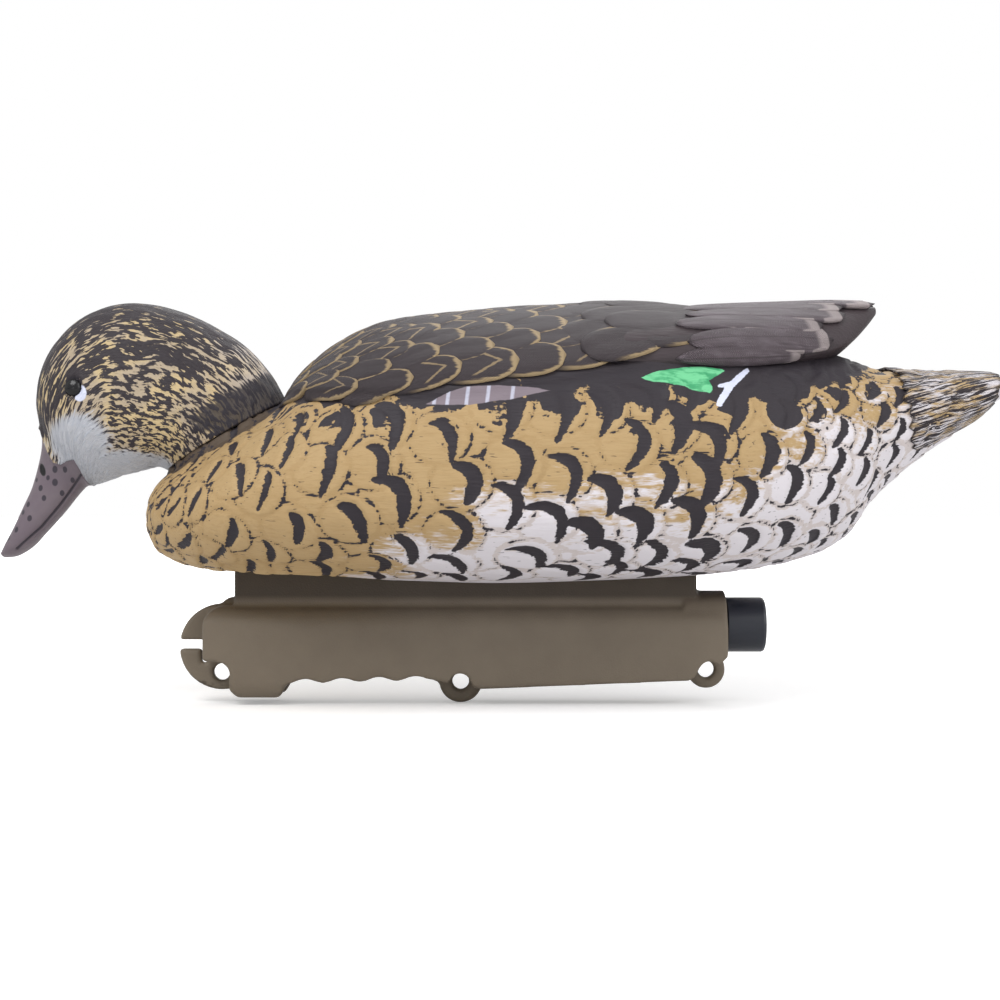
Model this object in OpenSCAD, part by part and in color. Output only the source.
// Floating duck decoy: a blow-moulded hen teal with a turning head, glass
// eyes, and a screwed-on ballasted keel with line eyes and a filler plug.
// Millimetres. +Z up, bill towards -X, tail towards +X, and Y = 0 is the
// mirror plane. The origin is under the middle of the decoy, level with the
// lowest point of the keel.

/* [Body] */
// Length of the body from the breast to the tail tip
body_len = 260; // [216:1:312]
// Height of the body from the hull bottom to the back
body_h = 86; // [72:1:104]
// Width of the body over the flanks
body_w = 116; // [96:1:140]
// Height of the hull bottom above the lowest point of the keel
hull_z = 37; // [36:0.5:45]
// Wall of the blow-moulded body, head and keel
wall = 2.2; // [1.6:0.1:2.7]

/* [Head] */
// Distance from the axis of the neck joint to the bill tip
head_reach = 78; // [65:1:94]
// Height of the crown above the neck joint
head_h = 54; // [45:1:65]
// Width of the head over the cheeks
head_w = 37; // [34:0.5:45]
// Length of the neck joint, front to back
neck_len = 42; // [39:0.5:46]
// Width of the neck joint
neck_w = 36; // [35:0.5:43]
// Forward tilt of the neck joint in degrees
neck_tilt = 30; // [25:1:35]
// Diameter of the eyes
eye_d = 5.4; // [4.5:0.1:6.5]

/* [Neck joint] */
// Diameter of the neck spigot
spigot_d = 27; // [22.5:0.5:28]
// Length of the neck spigot
spigot_len = 12; // [10:0.5:15]
// Wall of the neck spigot
spigot_wall = 3.4; // [3:0.1:4]
// Thickness of the snap ring's cord
ring_d = 2.4; // [2:0.1:2.8]
// Radial clearance between the spigot and its socket
neck_gap = 0.1; // [0.05:0.01:0.12]

/* [Keel] */
// Length of the keel's ballast tube
keel_len = 159; // [132:1:190]
// Width of the keel's ballast tube
keel_w = 24; // [21:0.5:29]
// Height of the top of the ballast tube
keel_top = 30; // [29:0.5:31]
// Distance of the ballast tube's front end from the origin
keel_front = 89.4; // [80:0.5:100]
// Diameter of the ballast chamber
chamber_d = 16; // [13:0.5:17]
// Thickness of the web between the tube and the hull
web_t = 13; // [12:0.5:16]
// Depth that the web is let into the hull bottom
saddle_depth = 4.5; // [4.3:0.1:5.5]
// Thickness of the line flange round the keel
flange_t = 4; // [3.2:0.1:5]
// Diameter of the anchor line eyes
eyelet_d = 5.2; // [4.3:0.1:6.2]
// Height of the cleat's slot
slot_h = 2.8; // [2.2:0.1:3.4]

/* [Plug] */
// Diameter of the plug's head
plug_d = 16.8; // [14:0.1:18]
// Length of the plug's head outside the keel
plug_head_len = 12.2; // [10:0.2:15]
// Diameter of the plug's shank
shank_d = 11.6; // [9.6:0.1:12.4]
// Length of the plug's shank
shank_len = 10; // [8:0.5:12]
// Radial clearance between the plug's shank and its bore
plug_gap = 0.1; // [0.05:0.01:0.15]

/* [Screws] */
// Diameter of the keel screws
screw_d = 3.6; // [3:0.1:4.2]
// Length of the keel screws under the head
screw_len = 14; // [12:0.5:16.5]
// Diameter of the screw heads
screw_head_d = 6.4; // [5.6:0.1:7]

/* [Hidden] */
$fn = 48;
slack = 0.3;                          // gap between pieces that only lie together
over = 1;                             // how far a cut runs past its face

body_x0 = -107;                       // front of the breast
neck_x = body_x0 + 0.0917 * body_len;
neck_z = hull_z + 0.519 * body_h;

// ---- Curves and lofts ------------------------------------------------

// Point between p1 and p2 on a Catmull-Rom curve through four rows.
function blend4(p0, p1, p2, p3, t) =
    0.5 * (2 * p1 + (p2 - p0) * t + (2 * p0 - 5 * p1 + 4 * p2 - p3) * t * t
        + (3 * p1 - p0 - 3 * p2 + p3) * t * t * t);

// Row of a table at the fractional index k.
function row_at(rows, k) =
    let (n = len(rows), i = min(floor(k), n - 2), t = k - i)
    blend4(rows[max(i - 1, 0)], rows[i], rows[i + 1], rows[min(i + 2, n - 1)], t);

// The table resampled to count rows.
function resample(rows, count) =
    [for (j = [0:count - 1]) row_at(rows, j * (len(rows) - 1) / (count - 1))];

function signed_pow(v, e) = sign(v) * pow(abs(v), e);

// Unit section [across, up]: superellipses of exponent n_up and n_down.
function section(n_up, n_down, sides) =
    [for (i = [0:sides - 1])
        let (a = 360 * (i + 0.5) / sides, n = sin(a) > 0 ? n_up : n_down)
        [signed_pow(cos(a), 2 / n), signed_pow(sin(a), 2 / n)]];

function mean(points) = [for (p = points) 1] * points / len(points);

// Closed solid through rings that all have the same number of points, which
// run clockwise as seen from the next ring.
module loft(rings) {
    sides = len(rings[0]);
    last = (len(rings) - 1) * sides;
    points = concat([for (r = rings) each r], [mean(rings[0]), mean(rings[len(rings) - 1])]);
    sheet = [
        for (j = [0:sides:last - sides], i = [0:sides - 1])
            let (a = j + i, b = j + (i + 1) % sides)
            each [[a, b, b + sides], [a, b + sides, a + sides]]
    ];
    near_cap = [for (i = [0:sides - 1]) [(i + 1) % sides, i, len(points) - 2]];
    far_cap = [for (i = [0:sides - 1]) [last + i, last + (i + 1) % sides, len(points) - 1]];
    polyhedron(points, concat(sheet, near_cap, far_cap));
}

// ---- Body ------------------------------------------------------------

// Body stations: share of the length; top, bottom and widest height as
// shares of body_h; half-width as a share of body_w / 2; and the exponents
// of the section's upper and lower half.
body_rows = [
    [0.000, 0.245, 0.225, 0.235, 0.03, 1.8, 2.0],
    [0.005, 0.315, 0.155, 0.236, 0.24, 1.8, 2.2],
    [0.022, 0.385, 0.095, 0.245, 0.46, 1.7, 2.4],
    [0.059, 0.450, 0.055, 0.260, 0.65, 1.7, 2.5],
    [0.104, 0.530, 0.040, 0.285, 0.79, 1.7, 2.6],
    [0.155, 0.630, 0.030, 0.320, 0.89, 1.7, 2.6],
    [0.190, 0.742, 0.026, 0.340, 0.93, 1.7, 2.7],
    [0.225, 0.822, 0.020, 0.355, 0.96, 1.8, 2.7],
    [0.273, 0.896, 0.012, 0.370, 0.98, 2.0, 2.7],
    [0.330, 0.942, 0.006, 0.380, 1.00, 2.1, 2.7],
    [0.415, 0.982, 0.000, 0.380, 1.00, 2.1, 2.7],
    [0.534, 0.994, 0.010, 0.385, 0.97, 2.1, 2.7],
    [0.640, 0.960, 0.026, 0.400, 0.90, 2.1, 2.6],
    [0.700, 0.925, 0.045, 0.420, 0.82, 2.0, 2.4],
    [0.765, 0.870, 0.084, 0.450, 0.70, 2.0, 2.3],
    [0.815, 0.815, 0.155, 0.500, 0.59, 2.0, 2.2],
    [0.850, 0.765, 0.290, 0.560, 0.49, 2.1, 2.1],
    [0.900, 0.734, 0.425, 0.610, 0.43, 2.2, 2.0],
    [0.958, 0.728, 0.550, 0.655, 0.39, 2.3, 2.0],
    [0.988, 0.721, 0.625, 0.680, 0.35, 2.3, 2.0],
    [1.000, 0.690, 0.650, 0.672, 0.30, 2.3, 2.0]
];

// Stations of the folded wings, which lie proud of the rump, read likewise.
wing_rows = [
    [0.500, 0.900, 0.640, 0.757, 0.45, 2.0, 2.0],
    [0.580, 0.975, 0.660, 0.757, 0.70, 2.0, 2.0],
    [0.660, 1.000, 0.690, 0.762, 0.71, 1.9, 2.0],
    [0.720, 1.000, 0.715, 0.775, 0.60, 1.8, 2.0],
    [0.765, 1.000, 0.745, 0.793, 0.49, 1.8, 2.0],
    [0.800, 1.000, 0.785, 0.822, 0.38, 1.8, 2.0],
    [0.826, 1.000, 0.848, 0.872, 0.25, 1.8, 2.0],
    [0.845, 0.998, 0.905, 0.930, 0.13, 1.8, 2.0],
    [0.857, 0.992, 0.955, 0.968, 0.05, 1.8, 2.0]
];

// One ring of the body or the wings, drawn inset from its row all round.
function hull_ring(row, sides, inset) =
    let (
        side_z = row[3] * body_h,
        across = max(row[4] * body_w / 2 - inset, inset / 2),
        up = max(row[1] * body_h - side_z - inset, inset / 2),
        down = max(side_z - row[2] * body_h - inset, inset / 2)
    )
    [for (p = section(row[5], row[6], sides)) [
        body_x0 + row[0] * body_len,
        -across * p[0],
        hull_z + side_z + (p[1] > 0 ? up : down) * p[1]
    ]];

module hull_loft(rows, count, sides, inset = 0) {
    loft([for (r = resample(rows, count)) hull_ring(r, sides, inset)]);
}

// Places its children in the neck joint's frame: +Z along the joint's axis
// and -X towards the bill.
module at_neck() {
    translate([neck_x, 0, neck_z]) rotate([0, -neck_tilt, 0]) children();
}

// Neck stations: depth under the joint, and how far the section spreads
// past the joint's own half-length and half-width.
neck_rows = [[0, 0, 0], [4, 0.6, 0.8], [10, 3, 4.5], [17, 5, 10], [24, 4, 14]];
neck_sides = 24;

module neck_stump() {
    at_neck() loft([for (r = resample(neck_rows, 9))
        [for (p = section(2, 2, neck_sides))
            [(neck_len / 2 + r[1]) * p[0], (neck_w / 2 + r[2]) * p[1], -r[0]]]]);
}

socket_d = spigot_d + 2 * neck_gap;
socket_depth = spigot_len + over;
ring_z = -spigot_len / 2;             // height of the snap ring in the neck frame
ring_seat_r = spigot_d / 2 - 0.2;     // radius of the snap ring's centre line
ring_gap = 0.2;                       // play of the snap ring in its groove
groove_d = ring_d + 2 * ring_gap;

// Round groove on both walls of the neck joint.
module ring_groove() {
    translate([0, 0, ring_z]) rotate_extrude()
        translate([ring_seat_r, 0]) circle(d = groove_d, $fn = 24);
}

module neck_socket_cut() {
    at_neck() {
        translate([0, 0, -socket_depth]) cylinder(d = socket_d, h = socket_depth + over);
        ring_groove();
    }
}

module neck_socket_wall() {
    at_neck() translate([0, 0, -socket_depth - wall])
        cylinder(d = socket_d + 2 * wall + ring_d, h = socket_depth + wall);
}

// Room for the foot of the head over its whole turn.
module head_sweep() {
    at_neck() cylinder(d = neck_len + 4 * slack, h = head_h / 3);
}

module body_shell() {
    color("tan") difference() {
        union() {
            hull_loft(body_rows, 38, 28);
            hull_loft(wing_rows, 13, 14);
            neck_stump();
        }
        difference() {
            hull_loft([for (i = [2:17]) body_rows[i]], 20, 20, wall);
            neck_socket_wall();
            saddle_pad();
            for (x = screw_xs) hull_boss(x);
        }
        neck_socket_cut();
        head_sweep();
        saddle_cut();
        for (x = screw_xs) translate([x, 0, saddle_z - over])
            cylinder(d = screw_d + 2 * plug_gap, h = boss_depth + over, $fn = 24);
    }
}

// ---- Head ------------------------------------------------------------

front = neck_len / 2;
// Head stations in the neck frame: forward and height of the top edge,
// forward and height of the bottom edge, half-width, share of the height at
// which the section is widest, and the two section exponents.
head_rows = [
    [-front, neck_gap, front, neck_gap, neck_w / 2, 0.50, 2.0, 2.0],
    [-front, 0.20 * head_h, front + 2, 0.05 * head_h, 0.49 * head_w, 0.48, 2.0, 2.0],
    [3 - front, 0.42 * head_h, 0.340 * head_reach, 0.07 * head_h, 0.48 * head_w, 0.45, 2.0, 2.0],
    [-0.145 * head_reach, 0.64 * head_h, 0.390 * head_reach, 0.09 * head_h, 0.48 * head_w, 0.43, 2.0, 2.1],
    [-0.040 * head_reach, 0.82 * head_h, 0.435 * head_reach, 0.11 * head_h, 0.49 * head_w, 0.42, 2.0, 2.1],
    [0.090 * head_reach, 0.95 * head_h, 0.480 * head_reach, 0.12 * head_h, 0.50 * head_w, 0.42, 2.0, 2.1],
    [0.240 * head_reach, 1.00 * head_h, 0.515 * head_reach, 0.13 * head_h, 0.495 * head_w, 0.42, 2.0, 2.1],
    [0.385 * head_reach, 0.96 * head_h, 0.540 * head_reach, 0.14 * head_h, 0.46 * head_w, 0.43, 2.0, 2.1],
    [0.500 * head_reach, 0.86 * head_h, 0.555 * head_reach, 0.15 * head_h, 0.40 * head_w, 0.44, 2.0, 2.1],
    [0.575 * head_reach, 0.73 * head_h, 0.570 * head_reach, 0.15 * head_h, 0.33 * head_w, 0.45, 2.0, 2.1],
    [0.617 * head_reach, 0.59 * head_h, 0.590 * head_reach, 0.15 * head_h, 0.26 * head_w, 0.45, 2.0, 2.2],
    [0.665 * head_reach, 0.47 * head_h, 0.632 * head_reach, 0.13 * head_h, 0.20 * head_w, 0.45, 2.0, 2.3],
    [0.760 * head_reach, 0.325 * head_h, 0.703 * head_reach, 0.09 * head_h, 0.185 * head_w, 0.50, 2.0, 2.4],
    [0.832 * head_reach, 0.245 * head_h, 0.787 * head_reach, 0.05 * head_h, 0.195 * head_w, 0.50, 2.2, 2.4],
    [0.909 * head_reach, 0.165 * head_h, 0.876 * head_reach, 0.015 * head_h, 0.205 * head_w, 0.50, 2.2, 2.4],
    [0.962 * head_reach, 0.115 * head_h, 0.950 * head_reach, 0.01 * head_h, 0.19 * head_w, 0.50, 2.2, 2.4],
    [1.000 * head_reach, 0.080 * head_h, 0.996 * head_reach, 0.03 * head_h, 0.12 * head_w, 0.50, 2.2, 2.4]
];

// One ring of the head: its top and bottom edges are drawn in by inset.
function head_ring(row, sides, inset) =
    let (
        top = [row[0], row[1]],
        bottom = [row[2], row[3]],
        tall = norm(top - bottom),
        dir = (top - bottom) / tall,
        mid = bottom + dir * tall * row[5],
        up = tall * (1 - row[5]) - inset,
        down = tall * row[5] - inset
    )
    [for (p = section(row[6], row[7], sides))
        let (q = mid + dir * (p[1] > 0 ? up : down) * p[1])
        [-q[0], (row[4] - inset) * p[0], q[1]]];

module head_loft(rows, count, sides, inset = 0) {
    loft([for (r = resample(rows, count)) head_ring(r, sides, inset)]);
}

eye_forward = 0.396 * head_reach;     // place of the eyes in the neck frame
eye_up = 0.631 * head_h;
eye_side = 0.450 * head_w;            // distance of the eyes' rims from Y = 0
eye_seat = 4;                         // length of an eye inside the head
eye_gap = 0.05;

// Places its children on an eye's axis with +Z outwards; side is 1 or -1.
module at_eye(side) {
    at_neck() translate([-eye_forward, side * eye_side, eye_up]) rotate([-90 * side, 0, 0]) children();
}

module eye_pocket(side) {
    at_eye(side) translate([0, 0, -eye_seat]) cylinder(d = eye_d + 2 * eye_gap, h = 4 * eye_seat);
}

module eye_boss(side) {
    at_eye(side) translate([0, 0, -eye_seat - wall]) cylinder(d = eye_d + 2 * wall, h = 3 * eye_seat);
}

module head_shell() {
    color("dimgray") difference() {
        union() {
            at_neck() head_loft(head_rows, 33, 24);
            at_neck() translate([0, 0, -spigot_len]) cylinder(d = spigot_d, h = spigot_len + wall);
        }
        difference() {
            at_neck() head_loft([for (i = [1:9]) head_rows[i]], 14, 18, wall);
            eye_boss(1);
            eye_boss(-1);
        }
        at_neck() translate([0, 0, -spigot_len - over])
            cylinder(d = spigot_d - 2 * spigot_wall, h = spigot_len + 0.2 * head_h);
        at_neck() ring_groove();
        eye_pocket(1);
        eye_pocket(-1);
    }
}

// Domed glass eye on a short stem.
module eye(side) {
    dome_h = 0.2 * eye_d;
    dome_r = (eye_d * eye_d / 4 + dome_h * dome_h) / (2 * dome_h);
    color("black") at_eye(side) translate([0, 0, -eye_seat]) intersection() {
        cylinder(d = eye_d, h = eye_seat + 2 * dome_h);
        translate([0, 0, eye_seat + dome_h - dome_r]) sphere(r = dome_r);
    }
}

module left_eye() { eye(-1); }

module right_eye() { eye(1); }

module neck_snap_ring() {
    color("black") at_neck() translate([0, 0, ring_z]) rotate_extrude()
        translate([ring_seat_r, 0]) circle(d = ring_d, $fn = 24);
}

// ---- Keel ------------------------------------------------------------

tube_x0 = -keel_front;
tube_x1 = tube_x0 + keel_len;
tube_z0 = 5;                          // underside of the tube behind the grip
chamber_z = 19;                       // height of the chamber's axis
lug_wall = 4;                         // flange left round each line eye
lug_r = eyelet_d / 2 + lug_wall;
web_x0 = tube_x0 + 9;
web_x1 = tube_x1 - 9;
saddle_z = hull_z + saddle_depth;     // top face of the web
web_low = keel_top - 6;               // where the web roots in the tube

// Eyes for the anchor line, as [x, z]: front, middle and rear.
front_eye = [tube_x0 + 4.5, 9.4];
middle_eye = [tube_x0 + 0.49 * keel_len, lug_r];
rear_eye = [tube_x1 - 5.7, 10.2];
line_eyes = [front_eye, middle_eye, rear_eye];
line_eye_gap = 0.6;                   // how far the tube stays clear of an eye's rim

cleat = [tube_x0 + 4.7, 17.2];        // centre of the cleat's round front
cleat_r = 13.2;
slot_z = 17.9;
slit_w = 1.7;
slit_drop = 6;                        // how far the slit runs under the slot

// Finger grip along the front half of the underside.
grip_x0 = tube_x0 + 25.5;
grip_x1 = tube_x0 + 70;
grip_count = 4;
grip_wave = 0.7;
grip_z = 7.3;                         // mean height of the grip
front_z = 2.3;                        // underside of the tube in front of it

function grip_point(t) = [
    grip_x0 + t * (grip_x1 - grip_x0),
    grip_z + 1.2 * t - grip_wave * cos(360 * grip_count * t)
];

corner_r = 6;
function arc(cx, cz, r, a0, a1, steps = 6) =
    [for (i = [0:steps]) let (a = a0 + (a1 - a0) * i / steps) [cx + r * cos(a), cz + r * sin(a)]];

// Side outline of the tube, from its top front corner clockwise backwards.
tube_side = concat(
    arc(tube_x0 + corner_r, keel_top - corner_r, corner_r, 180, 90),
    arc(tube_x1 - corner_r, keel_top - corner_r, corner_r, 90, 0),
    [[tube_x1, 15], [tube_x1 - 4, 11], [tube_x1 - 12, tube_z0 + 2.6], [grip_x1 + 14, tube_z0]],
    [for (i = [24:-1:0]) grip_point(i / 24)],
    [[grip_x0 - 2.5, front_z], [tube_x0 + 10.5, front_z]],
    [[tube_x0 + 8.2, 4.5], [tube_x0 + 8.2, 9]],
    arc(tube_x0 + 4.5, 9.4, 3.9, 10, 90, 4),
    [[tube_x0, 13.4]]
);

// Section of the tube: a rounded upright rectangle, and of the web.
module tube_section() {
    half = keel_w / 2;
    round_r = 7;
    polygon(concat(
        arc(half - round_r, keel_top - round_r, round_r, 0, 90),
        arc(round_r - half, keel_top - round_r, round_r, 90, 180),
        arc(round_r - half, round_r, round_r, 180, 270),
        arc(half - round_r, round_r, round_r, 270, 360)
    ));
}

// Turns a drawing in X and Z into a plate of thickness t about Y = 0.
module plate(t) {
    translate([0, t / 2, 0]) rotate([90, 0, 0]) linear_extrude(t) children();
}

// Relief in the tube's side round a line eye, open downwards.
module eye_relief(eye) {
    hull() {
        translate(eye) circle(r = eyelet_d / 2 + line_eye_gap);
        translate(eye - [lug_r, lug_r]) square([2 * lug_r, 1]);
    }
}

module tube_solid() {
    intersection() {
        plate(keel_w + 2) difference() {
            polygon(tube_side);
            eye_relief(middle_eye);
            eye_relief(rear_eye);
        }
        translate([tube_x0 - over, 0, 0]) rotate([90, 0, 90])
            linear_extrude(keel_len + 2 * over) tube_section();
    }
}

module line_flange() {
    plate(flange_t) difference() {
        union() {
            translate(cleat) circle(r = cleat_r);
            translate(middle_eye) circle(r = lug_r);
            translate(middle_eye - [lug_r + 2, 0]) square([2 * lug_r + 4, lug_r]);
            translate(rear_eye) circle(r = lug_r - 0.8);
            translate([tube_x0 + 8, keel_top - 1.6]) circle(r = 4);
            translate([tube_x0 + 4, web_low]) square([keel_len - 8, 3]);
        }
        translate([cleat[0] - cleat_r - over, slot_z - slot_h / 2])
            square([cleat_r + over - 4.7, slot_h]);
        translate([cleat[0] - 4.7 - slit_w, slot_z - slit_drop])
            square([slit_w, slit_drop]);
    }
}

plug_z = 23.9;                        // height of the plug's axis
plug_boss_d = 21;
plug_boss_len = shank_len + 3;
chamber_x0 = tube_x0 + 16;
chamber_x1 = tube_x1 - shank_len - slack;

well_d = screw_head_d + 1;            // screw wells in the keel's underside
well_wall = 1.4;
washer_t = 0.8;
clamp_t = 8;                          // web left between a well and the hull
well_top = saddle_z - clamp_t;
screw_xs = [web_x0 + 14, web_x1 - 14];
boss_depth = screw_len - clamp_t - washer_t + 2;

module along_x(x, z) {
    translate([x, 0, z]) rotate([0, 90, 0]) children();
}

module chamber_cut(inset = 0) {
    along_x(chamber_x0 + inset, chamber_z)
        cylinder(d = chamber_d - 2 * inset, h = chamber_x1 - chamber_x0 - 2 * inset);
}

// Column that walls a screw well off from the ballast chamber.
module well_column(x, extra = 0) {
    translate([x, 0, 0]) cylinder(d = well_d + 2 * (well_wall + extra), h = keel_top);
}

module saddle_block(side_gap, bottom, top) {
    translate([web_x0 - side_gap, -web_t / 2 - side_gap, bottom])
        cube([web_x1 - web_x0 + 2 * side_gap, web_t + 2 * side_gap, top - bottom]);
}

// Recess in the hull bottom that takes the web, and the pad over it.
module saddle_cut() { saddle_block(slack, 0, saddle_z); }

module saddle_pad() { saddle_block(slack + wall, saddle_z - 2 * wall, saddle_z + wall); }

module hull_boss(x) {
    translate([x, 0, saddle_z]) cylinder(d = screw_d + 2 * wall + 2, h = boss_depth + wall);
}

module keel_shell() {
    color("darkkhaki") difference() {
        union() {
            tube_solid();
            line_flange();
            saddle_block(0, web_low, saddle_z);
            along_x(tube_x1 - plug_boss_len, plug_z) cylinder(d = plug_boss_d, h = plug_boss_len);
        }
        difference() {
            chamber_cut();
            for (x = screw_xs) well_column(x);
        }
        along_x(chamber_x1 - over, plug_z)
            cylinder(d = shank_d + 2 * plug_gap, h = shank_len + 3 * over);
        for (e = line_eyes) translate([e[0], keel_w / 2, e[1]]) rotate([90, 0, 0])
            cylinder(d = eyelet_d, h = keel_w);
        for (x = screw_xs) translate([x, 0, -over]) {
            cylinder(d = well_d, h = well_top + over);
            cylinder(d = screw_d + 2 * plug_gap, h = saddle_z + 2 * over, $fn = 24);
        }
    }
}

module keel_ballast() {
    color("gold") difference() {
        chamber_cut(slack);
        for (x = screw_xs) well_column(x, slack);
    }
}

module keel_plug() {
    edge = 1;
    color("midnightblue") along_x(tube_x1, plug_z) rotate_extrude() polygon([
        [0, -shank_len], [shank_d / 2 - edge, -shank_len], [shank_d / 2, edge - shank_len],
        [shank_d / 2, plug_gap], [plug_d / 2 - edge / 2, plug_gap], [plug_d / 2, plug_gap + edge / 2],
        [plug_d / 2, plug_head_len - edge], [plug_d / 2 - 0.3 * edge, plug_head_len - 0.3 * edge],
        [plug_d / 2 - edge, plug_head_len], [0, plug_head_len]
    ]);
}

// ---- Screws ----------------------------------------------------------

module keel_screws() {
    color("silver") for (x = screw_xs) translate([x, 0, well_top - washer_t]) rotate_extrude()
        polygon([
            [0, screw_len], [0.3 * screw_d, screw_len], [screw_d / 2, screw_len - screw_d],
            [screw_d / 2, 0], [screw_head_d / 2, 0], [screw_head_d / 2 - 0.4, -2.4], [0, -2.4]
        ]);
}

module keel_washers() {
    color("gray") for (x = screw_xs) translate([x, 0, well_top - washer_t]) difference() {
        cylinder(d = screw_head_d + 0.6, h = washer_t);
        translate([0, 0, -over]) cylinder(d = screw_d + 2 * plug_gap, h = washer_t + 2 * over);
    }
}

body_shell();
head_shell();
left_eye();
right_eye();
neck_snap_ring();
keel_shell();
keel_ballast();
keel_plug();
keel_screws();
keel_washers();
